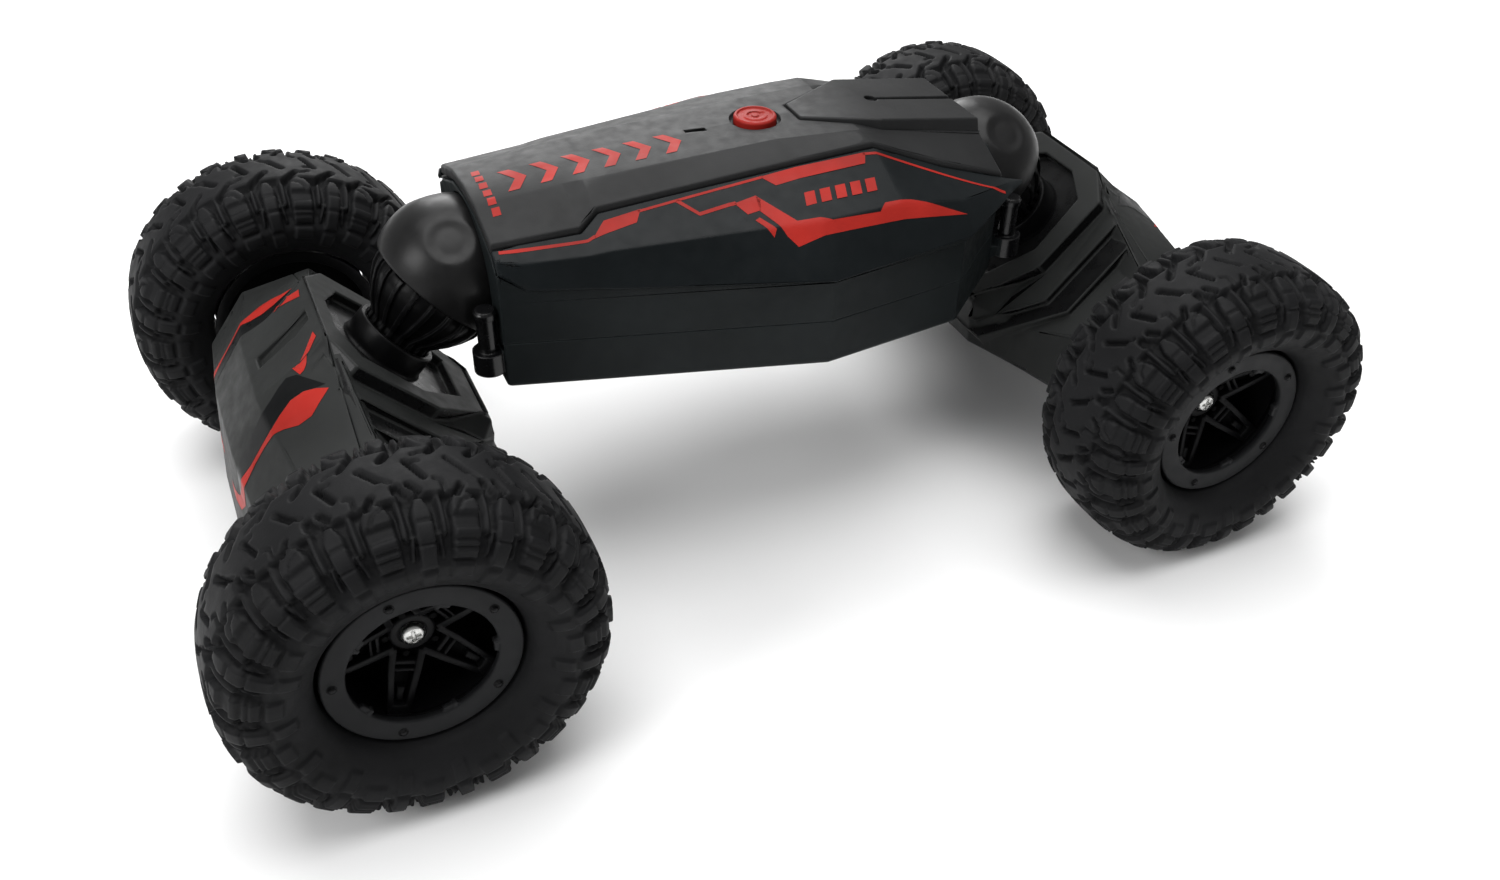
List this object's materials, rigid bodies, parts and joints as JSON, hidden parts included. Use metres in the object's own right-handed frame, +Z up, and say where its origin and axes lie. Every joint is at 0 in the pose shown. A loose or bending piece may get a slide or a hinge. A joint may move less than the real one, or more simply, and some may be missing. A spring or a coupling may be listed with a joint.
{
  "type": "rc stunt car",
  "caption": "Battery-driven stunt car whose wheel pairs hang on 45 degree twist joints at both ends of an angular body, with balloon off-road tyres.",
  "frame": {"origin": "on the ground, at the centre of the car's footprint", "axes": "+X to the car's front (the end with the raised hood panel), +Y to its left, +Z up"},
  "size_m": [0.286, 0.1734, 0.1066],
  "materials": {
    "chassis_slate": "satin moulded plastic, dark slate",
    "cover_charcoal": "matte moulded plastic, charcoal",
    "panel_satin": "satin moulded plastic, blue-black with red printed lines",
    "dome_black": "smooth satin plastic, black",
    "housing_black": "satin moulded plastic, black-grey with red printed shapes on the nose",
    "tyre_rubber": "soft matte rubber",
    "rim_black": "satin plastic, black",
    "ring_grey": "matte plastic, dark grey",
    "bolt_black": "blackened screw heads",
    "zinc_screw": "zinc plated",
    "motor_steel": "plain steel",
    "gear_nylon": "natural nylon",
    "gear_brass": "plain brass",
    "battery_wrap": "shrink sleeve",
    "circuit_board": "lacquered circuit board",
    "lens_dark": "dark translucent light pipe",
    "button_red": "matte plastic, red"
  },
  "bodies": {
    "chassis": {"chassis_tub": "chassis_slate", "battery_door": "chassis_slate", "battery_pack": "battery_wrap", "control_board": "circuit_board", "spine_cover": "cover_charcoal", "side_panel_left": "panel_satin", "side_panel_right": "panel_satin", "hood_panel": "cover_charcoal", "dome_cap_rear": "dome_black", "dome_cap_front": "dome_black", "twist_motor_rear": "motor_steel", "twist_motor_front": "motor_steel", "indicator_lens": "lens_dark", "body_screws": "zinc_screw"},
    "button": {"power_button": "button_red"},
    "rear_axle": {"gearbox_shell_rear": "housing_black", "nose_cover_rear": "housing_black", "neck_rear": "dome_black", "collar_ring_rear": "dome_black", "twist_shaft_rear": "motor_steel", "housing_screws_rear": "zinc_screw", "drive_motor_rear_left": "motor_steel", "drive_motor_rear_right": "motor_steel"},
    "front_axle": {"gearbox_shell_front": "housing_black", "nose_cover_front": "housing_black", "neck_front": "dome_black", "collar_ring_front": "dome_black", "twist_shaft_front": "motor_steel", "housing_screws_front": "zinc_screw", "drive_motor_front_left": "motor_steel", "drive_motor_front_right": "motor_steel"},
    "wheel_rear_left": {"tyre_rear_left": "tyre_rubber", "rim_rear_left": "rim_black", "beadlock_ring_rear_left": "ring_grey", "beadlock_bolts_rear_left": "bolt_black", "hub_screw_rear_left": "zinc_screw", "output_axle_rear_left": "gear_nylon"},
    "pinion_rear_left": {"motor_pinion_rear_left": "gear_brass"},
    "wheel_rear_right": {"tyre_rear_right": "tyre_rubber", "rim_rear_right": "rim_black", "beadlock_ring_rear_right": "ring_grey", "beadlock_bolts_rear_right": "bolt_black", "hub_screw_rear_right": "zinc_screw", "output_axle_rear_right": "gear_nylon"},
    "pinion_rear_right": {"motor_pinion_rear_right": "gear_brass"},
    "wheel_front_left": {"tyre_front_left": "tyre_rubber", "rim_front_left": "rim_black", "beadlock_ring_front_left": "ring_grey", "beadlock_bolts_front_left": "bolt_black", "hub_screw_front_left": "zinc_screw", "output_axle_front_left": "gear_nylon"},
    "pinion_front_left": {"motor_pinion_front_left": "gear_brass"},
    "wheel_front_right": {"tyre_front_right": "tyre_rubber", "rim_front_right": "rim_black", "beadlock_ring_front_right": "ring_grey", "beadlock_bolts_front_right": "bolt_black", "hub_screw_front_right": "zinc_screw", "output_axle_front_right": "gear_nylon"},
    "pinion_front_right": {"motor_pinion_front_right": "gear_brass"}
  },
  "joints": [
    {"name": "rear_twist", "type": "hinge", "parent": "chassis", "child": "rear_axle", "pos_m": [-0.0709, 0, 0.0819], "axis": [0.7071, 0, 0.7071], "range_deg": [-180, 180]},
    {"name": "front_twist", "type": "hinge", "parent": "chassis", "child": "front_axle", "pos_m": [0.0709, 0, 0.0819], "axis": [-0.7071, 0, 0.7071], "range_deg": [-180, 180]},
    {"name": "wheel_spin_rear_left", "type": "hinge", "parent": "rear_axle", "child": "wheel_rear_left", "pos_m": [-0.102, 0.0683, 0.041], "axis": [0, 1, 0], "continuous": true},
    {"name": "pinion_spin_rear_left", "type": "hinge", "parent": "rear_axle", "child": "pinion_rear_left", "pos_m": [-0.09161, 0.029, 0.05139], "axis": [0, 1, 0], "continuous": true},
    {"name": "wheel_spin_rear_right", "type": "hinge", "parent": "rear_axle", "child": "wheel_rear_right", "pos_m": [-0.102, -0.0683, 0.041], "axis": [0, 1, 0], "continuous": true},
    {"name": "pinion_spin_rear_right", "type": "hinge", "parent": "rear_axle", "child": "pinion_rear_right", "pos_m": [-0.09161, -0.029, 0.05139], "axis": [0, 1, 0], "continuous": true},
    {"name": "wheel_spin_front_left", "type": "hinge", "parent": "front_axle", "child": "wheel_front_left", "pos_m": [0.102, 0.0683, 0.041], "axis": [0, 1, 0], "continuous": true},
    {"name": "pinion_spin_front_left", "type": "hinge", "parent": "front_axle", "child": "pinion_front_left", "pos_m": [0.09161, 0.029, 0.05139], "axis": [0, 1, 0], "continuous": true},
    {"name": "wheel_spin_front_right", "type": "hinge", "parent": "front_axle", "child": "wheel_front_right", "pos_m": [0.102, -0.0683, 0.041], "axis": [0, 1, 0], "continuous": true},
    {"name": "pinion_spin_front_right", "type": "hinge", "parent": "front_axle", "child": "pinion_front_right", "pos_m": [0.09161, -0.029, 0.05139], "axis": [0, 1, 0], "continuous": true},
    {"name": "button_press", "type": "slide", "parent": "chassis", "child": "button", "axis": [0, 0, 1], "range_m": [-0.0012, 0], "stiffness_N_per_m": 300, "springref_m": 0.0004}
  ],
  "couplings": [
    {"joint": "pinion_spin_rear_left", "follows": "wheel_spin_rear_left", "ratio": -2.5},
    {"joint": "pinion_spin_rear_right", "follows": "wheel_spin_rear_right", "ratio": -2.5},
    {"joint": "pinion_spin_front_left", "follows": "wheel_spin_front_left", "ratio": -2.5},
    {"joint": "pinion_spin_front_right", "follows": "wheel_spin_front_right", "ratio": -2.5}
  ]
}
